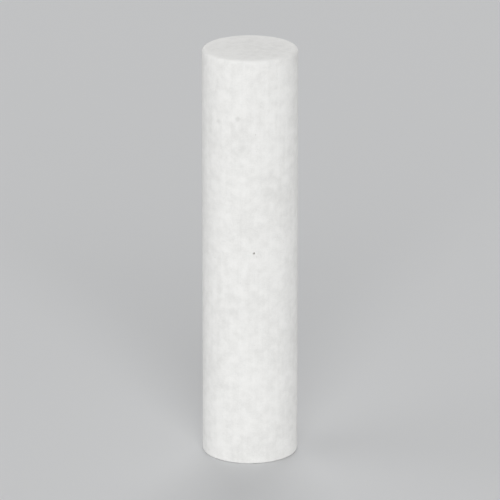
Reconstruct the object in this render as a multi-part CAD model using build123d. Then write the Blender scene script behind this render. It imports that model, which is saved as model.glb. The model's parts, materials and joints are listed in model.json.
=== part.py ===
from build123d import *
import os

# A jumbo stick of blackboard chalk: one solid round bar of set plaster, cast in a tube mould.
# It stands on its foot. Millimetres, +Z up along the stick's axis, origin at the foot's centre.

stick_diameter = 25.0
stick_length = 110.0
foot_rim_radius = 0.6  # the end struck off flat across the mould's mouth keeps a crisper edge
top_rim_radius = 1.0  # the mould's closed end leaves a softer edge

stick_radius = stick_diameter / 2


def half_section():
    """Half of the lengthwise section: out along the foot, up the side and back over the top."""
    outside = FilletPolyline(
        (0, 0),
        (stick_radius, 0),
        (stick_radius, stick_length),
        (0, stick_length),
        radius=[foot_rim_radius, top_rim_radius],
    )
    centre_line = Line((0, stick_length), (0, 0))
    return make_face([outside, centre_line])


def chalk_stick():
    """The whole stick: its half section turned once round the centre line."""
    return revolve(Plane.XZ * half_section(), Axis.Z)


os.makedirs("parts", exist_ok=True)
export_step(chalk_stick(), "parts/chalk_stick.step")
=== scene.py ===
import json
from math import ceil, cos, pi, radians, sin

import bpy
import numpy as np
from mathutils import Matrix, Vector


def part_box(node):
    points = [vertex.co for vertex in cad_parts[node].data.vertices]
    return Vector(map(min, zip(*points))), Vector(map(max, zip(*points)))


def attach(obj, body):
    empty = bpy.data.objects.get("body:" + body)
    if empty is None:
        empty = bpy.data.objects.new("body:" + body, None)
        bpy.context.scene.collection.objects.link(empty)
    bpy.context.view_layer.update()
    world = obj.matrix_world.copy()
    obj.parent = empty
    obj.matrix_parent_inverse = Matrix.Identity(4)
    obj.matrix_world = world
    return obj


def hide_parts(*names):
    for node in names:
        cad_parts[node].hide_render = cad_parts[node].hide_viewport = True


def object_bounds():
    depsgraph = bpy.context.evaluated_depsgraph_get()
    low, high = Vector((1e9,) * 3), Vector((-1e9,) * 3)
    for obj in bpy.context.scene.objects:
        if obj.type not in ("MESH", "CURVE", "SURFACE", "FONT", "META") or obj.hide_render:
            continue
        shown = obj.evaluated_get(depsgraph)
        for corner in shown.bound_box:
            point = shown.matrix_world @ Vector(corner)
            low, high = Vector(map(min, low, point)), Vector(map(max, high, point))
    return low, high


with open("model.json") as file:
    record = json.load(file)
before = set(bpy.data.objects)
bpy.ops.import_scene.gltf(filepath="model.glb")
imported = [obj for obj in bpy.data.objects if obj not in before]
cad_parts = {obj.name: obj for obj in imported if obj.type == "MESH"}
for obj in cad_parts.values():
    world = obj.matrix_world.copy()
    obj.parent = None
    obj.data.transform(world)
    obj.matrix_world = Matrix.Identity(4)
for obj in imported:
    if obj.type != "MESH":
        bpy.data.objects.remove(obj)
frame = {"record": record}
cadLow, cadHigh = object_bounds()
print("frame loaded")

mm = 0.001
rightAngle = pi / 2
fullTurn = 2 * pi

# The plain form, read from the frame. The barrel mount is the straight side, so what is left above and
# below it is the two rims.
barrel = next(mount for mount in frame["record"]["mounts"] if mount["name"] == "barrel")
barrelHalf = barrel["dims"]["length_mm"] * mm / 2
stickLow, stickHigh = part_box("chalk_stick")

form = {
    "radius": barrel["dims"]["r_mm"] * mm,
    "length": stickHigh.z - stickLow.z,
    "footRim": barrel["pos_m"][2] - barrelHalf - stickLow.z,
    "topRim": stickHigh.z - barrel["pos_m"][2] - barrelHalf,
}

# where each stretch of the half section ends, by arc length from the middle of the foot:
# the flat foot, its rim, the side, the top rim, the flat top
sectionEnds = np.cumsum([
    form["radius"] - form["footRim"],
    form["footRim"] * rightAngle,
    form["length"] - form["footRim"] - form["topRim"],
    form["topRim"] * rightAngle,
    form["radius"] - form["topRim"],
])


# Walks the half section to arc length s. Each stretch adds its own part of the way:
#   r = flat foot + footRim * sin(footTurn) - topRim * (1 - cos(topTurn)) - flat top
#   z = footRim * (1 - cos(footTurn)) + side + topRim * sin(topTurn)
# The outward normal starts straight down and has turned by footTurn + topTurn.
def walkSection(s):
    footTurn = np.clip((s - sectionEnds[0]) / form["footRim"], 0, rightAngle)
    topTurn = np.clip((s - sectionEnds[2]) / form["topRim"], 0, rightAngle)
    flatFoot = np.minimum(s, sectionEnds[0])
    side = np.clip(s - sectionEnds[1], 0, sectionEnds[2] - sectionEnds[1])
    flatTop = np.clip(s - sectionEnds[3], 0, None)
    r = flatFoot + form["footRim"] * np.sin(footTurn)
    r = r - form["topRim"] * (1 - np.cos(topTurn)) - flatTop
    z = form["footRim"] * (1 - np.cos(footTurn)) + side + form["topRim"] * np.sin(topTurn)
    tilt = footTurn + topTurn - rightAngle
    return r, z + stickLow.z, np.cos(tilt), np.sin(tilt)


# The skin is worked out unrolled, by turn round the axis and arc length s up the section. A point of it
# is (r cos(turn), r sin(turn), z), and its outward normal turns the same way.
def onForm(turn, s):
    r, z, outward, upward = walkSection(s)
    points = np.stack([r * np.cos(turn), r * np.sin(turn), z], -1)
    normals = np.stack([outward * np.cos(turn), outward * np.sin(turn), upward], -1)
    return points, normals


# Bearings go round the stick from its front, -Y, towards +X.
def turnAt(bearing):
    return np.radians(bearing) - rightAngle


# Arc length at a height on the straight side.
def sideAt(height):
    return sectionEnds[1] + height - form["footRim"]


stick = {
    "seed": 11,
    # how many grid lines there are round the stick, along each end's radius, each rim and the side
    "columns": 216, "faceRows": 26, "rimRows": 9, "sideRows": 328,
    "seamBearing": -155,  # the skin's map is cut up the back
    # the two air holes that sit together on the front: bearing in degrees, height, mouth radius, and the
    # lean of the wall under the lip, in degrees: under 90 it undercuts, over 90 it is a shallow dish
    "frontHoles": [(33.0, 58.0 * mm, 0.32 * mm, 66), (36.3, 57.0 * mm, 0.15 * mm, 80)],
    # the ones strewn over the rest of the side and in the two ends: the first one's bearing, and how far
    # each lies through its own share of the height, or from the middle of an end to the rim
    "sideHoles": {"count": 9, "first": 152, "lean": (62, 112), "radius": (0.13 * mm, 0.27 * mm),
                  "within": (0.3, 0.7)},
    "endHoles": {"count": 3, "first": 65, "lean": (70, 110), "radius": (0.11 * mm, 0.22 * mm),
                 "within": (0.3, 0.8)},
    "goldenAngle": 137.5,
    "holeWobble": {2: 0.09, 3: 0.055},  # waves round the mouth, and their share of its radius
    "lip": 0.035 * mm,  # the radius that rounds each mouth
    "windowRoom": 1.6,  # how much wider than the hole the window cut for it in the grid is
    # rings of points from a window to its mouth, round the lip, and down the wall to the floor
    "outerRings": 3, "lipRings": 3, "ballRings": 6,
    # faint grey marks on the upper front: bearing, height, radius and strength, and how deep a full one is
    "marks": [(14.0, 94.3 * mm, 0.85 * mm, 1.0), (-12.0, 93.0 * mm, 1.0 * mm, 0.5)],
    "markDepth": 0.05 * mm,
    # slow unevenness of the mould, lines drawn up the side as the stick slid out, softness of the rims
    # and the strokes of the strickle across the foot: mean depth, how far it swings either way, and the
    # lengths and number of the waves that make it up
    "mould": {"mean": 0.015 * mm, "swing": 0.008 * mm, "lengths": (9 * mm, 26 * mm), "count": 20},
    "drawn": {"mean": 0.007 * mm, "swing": 0.007 * mm, "lengths": (1.1 * mm, 3.2 * mm), "count": 26},
    "rimWear": {"mean": 0.018 * mm, "swing": 0.022 * mm, "lengths": (0.9 * mm, 4.0 * mm), "count": 30},
    "scraped": {"mean": 0.008 * mm, "swing": 0.006 * mm, "lengths": (0.8 * mm, 2.6 * mm), "count": 22},
    "rimWidth": 0.9 * mm, "dish": 0.05 * mm,
    "drawnOut": 0.03,  # how much the drawn lines and the strokes thin out along their way
}


# Grid lines along the section, evenly over each stretch, without the two poles.
def sectionRows():
    counts = [stick["faceRows"], stick["rimRows"], stick["sideRows"], stick["rimRows"], stick["faceRows"]]
    starts = np.concatenate([[0], sectionEnds[:-1]])
    rows = [np.linspace(a, b, n, endpoint=False) for a, b, n in zip(starts, sectionEnds, counts)]
    return np.concatenate(rows)[1:]


# Every air hole as turn, s, mouth radius and lean of its wall. Along the side they climb in even steps
# while they go round by the golden angle, so they make no rows or heaps. Most are near the least size.
def airHoles(rng):
    holes = [(turnAt(bearing), sideAt(height), radius, radians(lean))
             for bearing, height, radius, lean in stick["frontHoles"]]

    def strewn(kind, n, s):
        low, high = kind["radius"]
        radius = low + (high - low) * rng.random() ** 2
        turn = turnAt(kind["first"] + n * stick["goldenAngle"])
        return turn, s, radius, radians(rng.uniform(*kind["lean"]))

    side, end = stick["sideHoles"], stick["endHoles"]
    for n in range(side["count"]):
        height = form["length"] * (n + rng.uniform(*side["within"])) / side["count"]
        holes.append(strewn(side, n, sideAt(height)))
    for middle, way in ((0, 1), (sectionEnds[-1], -1)):
        for n in range(end["count"]):
            away = form["radius"] * rng.uniform(*end["within"])
            holes.append(strewn(end, n, middle + way * away))
    return holes


# The steps in rows and columns from a window's middle to each grid point on its edge, once round.
def windowEdge(high, wide):
    across = np.arange(-wide, wide)
    up = np.arange(-high, high)
    rows = np.concatenate([np.full(2 * wide, -high), up, np.full(2 * wide, high), -up])
    columns = np.concatenate([across, np.full(2 * high, wide), -across, np.full(2 * high, -wide)])
    return rows, columns


# A hole's section, from its mouth to its floor. The lip is a small arc that turns until it leans as the
# wall does, and the wall is a ball that it runs on into:
#   lip:  reach = mouth - lip * sin(a),      depth = lip * (1 - cos(a)),      a from 0 to 180 - lean
#   ball: reach = ball * sin(b),             depth = lip's + ball * (cos(lean) - cos(b)),  b on to 180
def holeSection(mouth, lean):
    a = np.linspace(0, pi - lean, stick["lipRings"] + 1)
    b = np.linspace(lean, pi, stick["ballRings"] + 1)[1:-1]
    ball = mouth / sin(lean) - stick["lip"]
    lipDepth = stick["lip"] * (1 - np.cos(a))
    reach = np.concatenate([mouth - stick["lip"] * np.sin(a), ball * np.sin(b)])
    depth = np.concatenate([lipDepth, lipDepth[-1] + ball * (cos(lean) - np.cos(b))])
    return reach, depth, lipDepth[-1] + ball * (cos(lean) + 1)


# The sheet that fills a hole's window: rings round the hole, each with two points for every point of the
# window's edge. They close in from the edge to the mouth and then follow the hole's section down. A point
# lies at reach * (cos(angle), sin(angle)) from the middle, with reach wobbling by a few slow waves.
# It gives x and y in the unrolled skin, depth, where each point lies on the flat map, and the floor's depth.
def holeSheet(edgeX, edgeY, mouth, lean, rng):
    targetX, targetY = [np.stack([e, (e + np.roll(e, -1)) / 2], 1).ravel() for e in (edgeX, edgeY)]
    away = np.hypot(targetX, targetY)
    angle = np.arctan2(targetY, targetX)
    wobble = 1 + sum(share * np.cos(count * angle + rng.uniform(0, fullTurn))
                     for count, share in stick["holeWobble"].items())
    inward = np.linspace(0, 1, stick["outerRings"] + 1)[1:-1, None]
    outer = away * (1 - inward) + mouth * wobble * inward
    reach, depth, floor = holeSection(mouth, lean)
    onMap = np.linspace(mouth, 0, len(reach) + 1)[:-1]
    real = np.concatenate([outer, reach[:, None] * wobble])
    flat = np.concatenate([outer, onMap[:, None] * wobble])
    deep = np.concatenate([np.zeros(outer.shape), depth[:, None] * np.ones(away.shape)])
    x, y, mapX, mapY = [r * way for r in (real, flat) for way in (np.cos(angle), np.sin(angle))]
    return x, y, deep, mapX, mapY, floor


# Faces between two closed loops of point numbers that go round the same way.
def strip(outer, inner):
    return np.stack([outer, np.roll(outer, -1, -1), np.roll(inner, -1, -1), inner], -1).reshape(-1, 4)


# Triangles from a closed loop of point numbers to one point.
def fan(loop, tip):
    return np.stack([loop, np.roll(loop, -1), np.full(len(loop), tip)], -1)


# The whole skin, unrolled: an even grid, a point at each pole, and a sheet of rings in place of each
# window. Returns turn, s, depth and map place of each point, and the faces.
def unrolledSkin(holes, rng):
    rowPlaces = sectionRows()
    step = fullTurn / stick["columns"]
    seamTurn = turnAt(stick["seamBearing"])
    grid = np.arange(len(rowPlaces) * stick["columns"]).reshape(-1, stick["columns"])
    turn = np.tile(seamTurn + step * np.arange(stick["columns"]), len(rowPlaces))
    s = np.repeat(rowPlaces, stick["columns"])
    nextColumn = np.roll(grid, -1, 1)
    cells = np.stack([grid[:-1], nextColumn[:-1], nextColumn[1:], grid[1:]], -1)
    kept = np.ones(cells.shape[:2], bool)
    footPole, topPole = grid.size, grid.size + 1
    faces = [fan(grid[0][::-1], footPole), fan(grid[-1], topPole)]
    poles = np.array([0, sectionEnds[-1]])
    points = [np.stack([turn, s, 0 * s, turn, s])]
    points.append(np.stack([0 * poles, poles, 0 * poles, 0 * poles, poles]))
    count = grid.size + len(poles)

    for holeTurn, holeS, mouth, lean in holes:
        # the hole is moved to the nearest grid point
        row = int(np.abs(rowPlaces - holeS).argmin())
        column = round((holeTurn - seamTurn) % fullTurn / step)
        middleTurn, middleS = seamTurn + column * step, rowPlaces[row]
        radiusHere = float(walkSection(middleS)[0])
        rowGap, columnGap = rowPlaces[row + 1] - middleS, radiusHere * step
        high, wide = [ceil(stick["windowRoom"] * mouth / gap) for gap in (rowGap, columnGap)]
        rowSteps, columnSteps = windowEdge(high, wide)
        edge = grid[row + rowSteps, (column + columnSteps) % stick["columns"]]
        kept[row - high:row + high, np.arange(column - wide, column + wide) % stick["columns"]] = False
        edgeX, edgeY = columnSteps * columnGap, rowSteps * rowGap
        x, y, deep, mapX, mapY, floor = holeSheet(edgeX, edgeY, mouth, lean, rng)
        real = [middleTurn + x / radiusHere, middleS + y, deep]
        onMap = [middleTurn + mapX / radiusHere, middleS + mapY]
        points.append(np.stack([values.ravel() for values in real + onMap]))
        points.append(np.array([[middleTurn, middleS, floor, middleTurn, middleS]]).T)
        rings = count + np.arange(x.size).reshape(x.shape)
        onSpoke, between = rings[0].reshape(-1, 2).T
        faces.append(np.column_stack([edge, np.roll(edge, -1), np.roll(onSpoke, -1), between, onSpoke]))
        faces.append(strip(rings[:-1], rings[1:]))
        faces.append(fan(rings[-1], count + x.size))
        count += x.size + 1

    faces.append(cells[kept])
    return np.concatenate(points, 1), faces


# Drops the grid points inside the windows, which no face uses any more.
def withoutLoose(points, faces):
    used, corners = np.unique(np.concatenate([f.ravel() for f in faces]), return_inverse=True)
    ends = np.cumsum([f.size for f in faces])[:-1]
    parts = np.split(corners.ravel(), ends)
    return points[:, used], [part.reshape(f.shape) for part, f in zip(parts, faces)]


# Smooth seamless noise at the points, which swings by about 1 either way: the sum of many waves
# cos(place along its direction * turn / length + phase), over the root of half their number. Each wave has
# its own random direction, length and phase. squash shrinks the directions along one axis, which draws the
# pattern out along it.
def waves(points, kind, rng, squash=(1, 1, 1)):
    shortest, longest = kind["lengths"]
    directions = rng.normal(size=(kind["count"], 3)) * squash
    directions /= np.linalg.norm(directions, axis=1)[:, None]
    lengths = shortest * (longest / shortest) ** rng.random(kind["count"])
    phases = rng.uniform(0, fullTurn, kind["count"])
    across = points @ (directions * (fullTurn / lengths)[:, None]).T
    return np.cos(across + phases).sum(-1) / np.sqrt(kind["count"] / 2)


# A soft rise from 0 at low to 1 at high.
def softRise(x, low, high):
    share = np.clip((x - low) / (high - low), 0, 1)
    return share * share * (3 - 2 * share)


# How strongly each point is marked: the sum of strength * (1 - (distance / radius)^2)^2 over the marks.
def markStrength(points):
    marked = np.zeros(len(points))
    for bearing, height, radius, strength in stick["marks"]:
        middle = onForm(np.array(turnAt(bearing)), np.array(sideAt(height)))[0]
        distance = np.linalg.norm(points - middle, axis=-1) / radius
        marked += strength * (1 - distance ** 2).clip(0, None) ** 2
    return marked


# How far the cast skin lies inside the plain form: mean + swing * waves for each kind of unevenness, kept
# to its own part of the stick, a dish * (1 - out^2) in the top, and the marks.
def castRelief(points, s, onEnd, onRim, marked, rng):
    onTop = softRise(s, sectionEnds[2], sectionEnds[3])
    onFoot = 1 - softRise(s, sectionEnds[0], sectionEnds[1])
    out = np.hypot(points[:, 0], points[:, 1]) / form["radius"]
    upwards = (1, 1, stick["drawnOut"])
    across = (stick["drawnOut"], 1, 1)

    def uneven(name, squash=(1, 1, 1)):
        kind = stick[name]
        return (kind["mean"] + kind["swing"] * waves(points, kind, rng, squash)).clip(0, None)

    relief = uneven("mould") + uneven("drawn", upwards) * (1 - onEnd)
    relief += uneven("rimWear") * onRim + uneven("scraped", across) * onFoot
    relief += stick["dish"] * (1 - out ** 2) * onTop + stick["markDepth"] * marked
    return relief


# The stick's mesh, and on its points what the material reads: hole depth, marks, onEnd = how far the
# normal points up or down, squared, and onRim = exp(-(way to the rim's inner edge / its width)^2).
def makeStick():
    rng = np.random.default_rng(stick["seed"])
    skin, faces = withoutLoose(*unrolledSkin(airHoles(rng), rng))
    turn, s, deep, mapTurn, mapS = skin
    points, normals = onForm(turn, s)
    onEnd = normals[:, 2] ** 2
    toRim = np.minimum(np.abs(s - sectionEnds[0]), np.abs(s - sectionEnds[3]))
    onRim = np.exp(-((toRim / stick["rimWidth"]) ** 2))
    marked = markStrength(points)
    relief = castRelief(points, s, onEnd, onRim, marked, rng)
    cast = points - normals * (relief + deep)[:, None]
    mesh = bpy.data.meshes.new("cast_stick")
    mesh.from_pydata(cast, [], [face for part in faces for face in part.tolist()])
    mesh.polygons.foreach_set("use_smooth", np.ones(len(mesh.polygons), bool))
    painted = {"holeDepth": deep / mm, "marked": marked, "onEnd": onEnd, "onRim": onRim}
    for name, values in painted.items():
        mesh.attributes.new(name, "FLOAT", "POINT").data.foreach_set("value", values.astype(np.float32))
    mapSkin(mesh, mapTurn, mapS)
    made = bpy.data.objects.new("cast_stick", mesh)
    bpy.context.scene.collection.objects.link(made)
    return made


# the margin round the map, and where on it the two ends' discs have their middles
skinMap = {"margin": 0.01, "endAcross": 0.86, "footUp": 0.25, "topUp": 0.75}


# Lays the skin out flat for baking: side and rims as one upright sheet, cut at the seam, and each end as
# a disc beside it. A face that crosses the seam has its low corners carried a full turn on.
def mapSkin(mesh, mapTurn, mapS):
    corners = np.empty(len(mesh.loops), int)
    mesh.loops.foreach_get("vertex_index", corners)
    starts = np.empty(len(mesh.polygons), int)
    mesh.polygons.foreach_get("loop_start", starts)
    sizes = np.diff(starts, append=len(corners))
    turn = mapTurn[corners] - turnAt(stick["seamBearing"])
    s = mapS[corners]
    furthest = np.repeat(np.maximum.reduceat(turn, starts), sizes)
    turn = turn + fullTurn * (furthest - turn > pi)
    faceS = np.repeat(np.add.reduceat(s, starts) / sizes, sizes)
    scale = (1 - 2 * skinMap["margin"]) / (sectionEnds[3] - sectionEnds[0])
    u = skinMap["margin"] + turn * form["radius"] * scale
    v = skinMap["margin"] + (s - sectionEnds[0]) * scale
    for isEnd, out, middle, way in (
        (faceS < sectionEnds[0], s, skinMap["footUp"], -1),
        (faceS > sectionEnds[3], sectionEnds[-1] - s, skinMap["topUp"], 1),
    ):
        u = np.where(isEnd, skinMap["endAcross"] + out * np.cos(turn) * scale, u)
        v = np.where(isEnd, middle + way * out * np.sin(turn) * scale, v)
    layer = mesh.uv_layers.new(name="OFBake")
    layer.uv.foreach_set("vector", np.stack([u, v], -1).astype(np.float32).ravel())


# One value that runs through a material's nodes. Sums on it add Math nodes.
class Wire:
    def __init__(self, tree, socket=None):
        self.tree = tree
        self.socket = socket

    # Adds a node: its settings first, then a number, colour or wire for each of its sockets.
    def node(self, kind, settings=None, sockets=None, out=0):
        made = self.tree.nodes.new(kind)
        for name, value in (settings or {}).items():
            setattr(made, name, value)
        for name, value in (sockets or {}).items():
            if isinstance(value, Wire):
                self.tree.links.new(value.socket, made.inputs[name])
            else:
                made.inputs[name].default_value = value
        return Wire(self.tree, made.outputs[out] if made.outputs else None)

    def math(self, operation, first, second):
        return self.node("ShaderNodeMath", {"operation": operation}, {0: first, 1: second})

    def __add__(self, other):
        return self.math("ADD", self, other)

    def __radd__(self, other):
        return self.math("ADD", other, self)

    def __sub__(self, other):
        return self.math("SUBTRACT", self, other)

    def __rsub__(self, other):
        return self.math("SUBTRACT", other, self)

    def __mul__(self, other):
        return self.math("MULTIPLY", self, other)

    def __rmul__(self, other):
        return self.math("MULTIPLY", other, self)

    def rise(self, low, high):
        return self.node("ShaderNodeMapRange", {"interpolation_type": "SMOOTHSTEP"},
                         {"Value": self, "From Min": low, "From Max": high})

    # In a colour Mix node the factor and the two colours are sockets 0, 6 and 7, and the colour it gives is
    # socket 2.
    def between(self, low, high):
        return self.node("ShaderNodeMix", {"data_type": "RGBA"}, {0: self, 6: low, 7: high}, out=2)


# An empty material, and a wire to start its nodes from.
def newMaterial(name):
    material = bpy.data.materials.new(name)
    material.use_nodes = True
    material.node_tree.nodes.clear()
    return material, Wire(material.node_tree)


chalk = {
    "powder": (0.868, 0.866, 0.852, 1),  # the dry, dusty white
    "dense": (0.735, 0.733, 0.718, 1),  # where the plaster set a little denser
    "paintedShade": (0.53, 0.525, 0.505, 1),  # painted shade down in an air hole and in the pinholes
    "paintedShadeDepth": (0.01, 0.20),  # mm, over which the painted shade deepens down a hole
    # how wide each pattern's features are, and in how many octaves
    "cloud": (13 * mm, 2), "mottle": (2.2 * mm, 3), "grain": (0.30 * mm, 2), "line": (0.8 * mm, 2),
    "lineStretch": 0.025,  # how little the lines change up the stick, beside round it
    "pinholeSpacing": 1.6 * mm, "pinholeSize": 0.085,  # the size is a share of the spacing
    # how strongly the pinholes are darkened with painted shade
    "pinholePaintedShade": 0.55,
    # how much each pattern adds to the density, and the band of sums that goes from powder to dense
    "density": {"cloud": 0.9, "mottle": 1.4, "grain": 0.8, "line": 0.4, "rim": -0.25, "mark": 1.3},
    "densityBand": (1.20, 2.60),
    # how much each adds to the height and to the roughness
    "height": {"grain": 0.55, "mottle": 0.50, "line": 0.14, "pinhole": -1.0},
    "bumpHeight": 0.05 * mm,
    "roughness": 0.88, "roughnessBy": {"mottle": 0.12, "line": -0.07},
    "shader": {"IOR": 1.52, "Specular IOR Level": 0.25, "Diffuse Roughness": 0.3},
}


# Chalk: a dusty white that clouds, mottles and grains by a few hundredths, faint lines drawn up the side,
# strewn pinholes with painted shade in them, and painted shade down in the air holes.
def chalkMaterial():
    material, start = newMaterial("chalk")
    place = start.node("ShaderNodeTexCoord", out="Object")

    def noise(name, where=place):
        size, octaves = chalk[name]
        sockets = {"Vector": where, "Scale": 1 / size, "Detail": octaves}
        return start.node("ShaderNodeTexNoise", sockets=sockets)

    def painted(name):
        return start.node("ShaderNodeAttribute", {"attribute_name": name}, out="Fac")

    stretched = {"Vector": place, "Scale": (1, 1, chalk["lineStretch"])}
    drawnUp = start.node("ShaderNodeMapping", sockets=stretched)
    cells = {"Vector": place, "Scale": 1 / chalk["pinholeSpacing"]}
    toPinhole = start.node("ShaderNodeTexVoronoi", {"feature": "F1"}, cells)
    pattern = {
        "cloud": noise("cloud"),
        "mottle": noise("mottle"),
        "grain": noise("grain"),
        "line": noise("line", drawnUp) * (1 - painted("onEnd")),
        "rim": painted("onRim"),
        "mark": painted("marked"),
        "pinhole": 1 - toPinhole.rise(0, chalk["pinholeSize"]),
    }

    def blend(shares):
        return sum(pattern[name] * share for name, share in shares.items())

    colour = blend(chalk["density"]).rise(*chalk["densityBand"]).between(chalk["powder"], chalk["dense"])
    # painted shade in the middle of each pinhole
    colour = (pattern["pinhole"] * chalk["pinholePaintedShade"]).between(colour, chalk["paintedShade"])
    # painted shade that darkens each air hole more the deeper the point lies
    colour = painted("holeDepth").rise(*chalk["paintedShadeDepth"]).between(colour, chalk["paintedShade"])
    roughness = chalk["roughness"] + blend(chalk["roughnessBy"])
    relief = {"Height": blend(chalk["height"]), "Distance": chalk["bumpHeight"]}
    bump = start.node("ShaderNodeBump", sockets=relief)
    varying = {"Base Color": colour, "Roughness": roughness, "Normal": bump}
    surface = start.node("ShaderNodeBsdfPrincipled", sockets={**varying, **chalk["shader"]})
    start.node("ShaderNodeOutputMaterial", sockets={"Surface": surface})
    return material


castStick = makeStick()
castStick.data.materials.append(chalkMaterial())
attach(castStick, "root")
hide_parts("chalk_stick")
print("stick cast:", len(castStick.data.polygons), "faces")


studio = {
    "floorTone": (0.74, 0.747, 0.755),
    "floorReach": 7.0,  # metres from the middle to each side
    "skyGlow": 0.34,
    # lamps as bearing and height in degrees, strength and how wide they look, in degrees
    "lamps": {"key": (32, 20, 1.80, 40), "fill": (-52, 16, 0.55, 60), "back": (204, 16, 1.50, 45)},
    "cameraBearing": 28.65, "cameraHeight": 18.12,  # degrees
    "lens": 400.0, "sensor": 36.0,  # mm
    "fill": 0.86,  # the share of the picture's height that the stick takes
}


# Which way a bearing and a height in degrees point: (sin b cos h, -cos b cos h, sin h).
def directionTo(bearing, height):
    b, h = radians(bearing), radians(height)
    return Vector((sin(b) * cos(h), -cos(b) * cos(h), sin(h)))


# The floor sends back its tone times the light that falls on it: the sky's glow, and strength * sin(height)
# / pi for each lamp.
def floorColour():
    falling = studio["skyGlow"]
    for _, height, strength, _ in studio["lamps"].values():
        falling += strength * sin(radians(height)) / pi
    return (*[tone * falling for tone in studio["floorTone"]], 1)


def makeFloor():
    reach = studio["floorReach"]
    mesh = bpy.data.meshes.new("floor")
    corners = [(x * reach, y * reach, cadLow.z) for x, y in ((-1, -1), (1, -1), (1, 1), (-1, 1))]
    mesh.from_pydata(corners, [], [(0, 1, 2, 3)])
    floor = bpy.data.objects.new("floor", mesh)
    bpy.context.scene.collection.objects.link(floor)
    material, start = newMaterial("pale_floor")
    surface = start.node("ShaderNodeBsdfDiffuse", sockets={"Color": (*studio["floorTone"], 1)})
    start.node("ShaderNodeOutputMaterial", sockets={"Surface": surface})
    mesh.materials.append(material)


# The sky lights the stick evenly, and seen past the floor's edge it has the floor's own colour.
def makeSky():
    world = bpy.data.worlds.new("studio")
    world.use_nodes = True
    world.node_tree.nodes.clear()
    start = Wire(world.node_tree)
    camera, glossy, through = [start.node("ShaderNodeLightPath", out="Is " + kind + " Ray")
                               for kind in ("Camera", "Glossy", "Transmission")]
    glow = start.node("ShaderNodeBackground", sockets={"Color": (1, 1, 1, 1), "Strength": studio["skyGlow"]})
    backdrop = start.node("ShaderNodeBackground", sockets={"Color": floorColour(), "Strength": 1.0})
    sky = start.node("ShaderNodeMixShader", sockets={0: camera + glossy + through, 1: glow, 2: backdrop})
    start.node("ShaderNodeOutputWorld", sockets={"Surface": sky})
    bpy.context.scene.world = world


# Each lamp shines from its bearing and height, and its width makes its shadows soft.
def makeLamps():
    for name, (bearing, height, strength, width) in studio["lamps"].items():
        lamp = bpy.data.lights.new(name, "SUN")
        lamp.energy = strength
        lamp.angle = radians(width)
        placed = bpy.data.objects.new(name, lamp)
        placed.rotation_mode = "QUATERNION"
        placed.rotation_quaternion = directionTo(bearing, height).to_track_quat("Z", "Y")
        bpy.context.scene.collection.objects.link(placed)


# The camera backs off until the stick's height fills its share of the picture.
def makeCamera():
    back = directionTo(studio["cameraBearing"], studio["cameraHeight"])
    tilt = radians(studio["cameraHeight"])
    seenHeight = form["length"] * cos(tilt) + 2 * form["radius"] * sin(tilt)
    distance = seenHeight / studio["fill"] * studio["lens"] / studio["sensor"]
    camera = bpy.data.cameras.new("camera")
    camera.lens = studio["lens"]
    camera.sensor_width = studio["sensor"]
    placed = bpy.data.objects.new("camera", camera)
    placed.location = (cadLow + cadHigh) / 2 + back * distance
    placed.rotation_mode = "QUATERNION"
    placed.rotation_quaternion = back.to_track_quat("Z", "Y")
    bpy.context.scene.collection.objects.link(placed)
    bpy.context.scene.camera = placed


makeFloor()
makeSky()
makeLamps()
makeCamera()
bpy.context.scene.view_settings.view_transform = "Standard"
print("studio set")
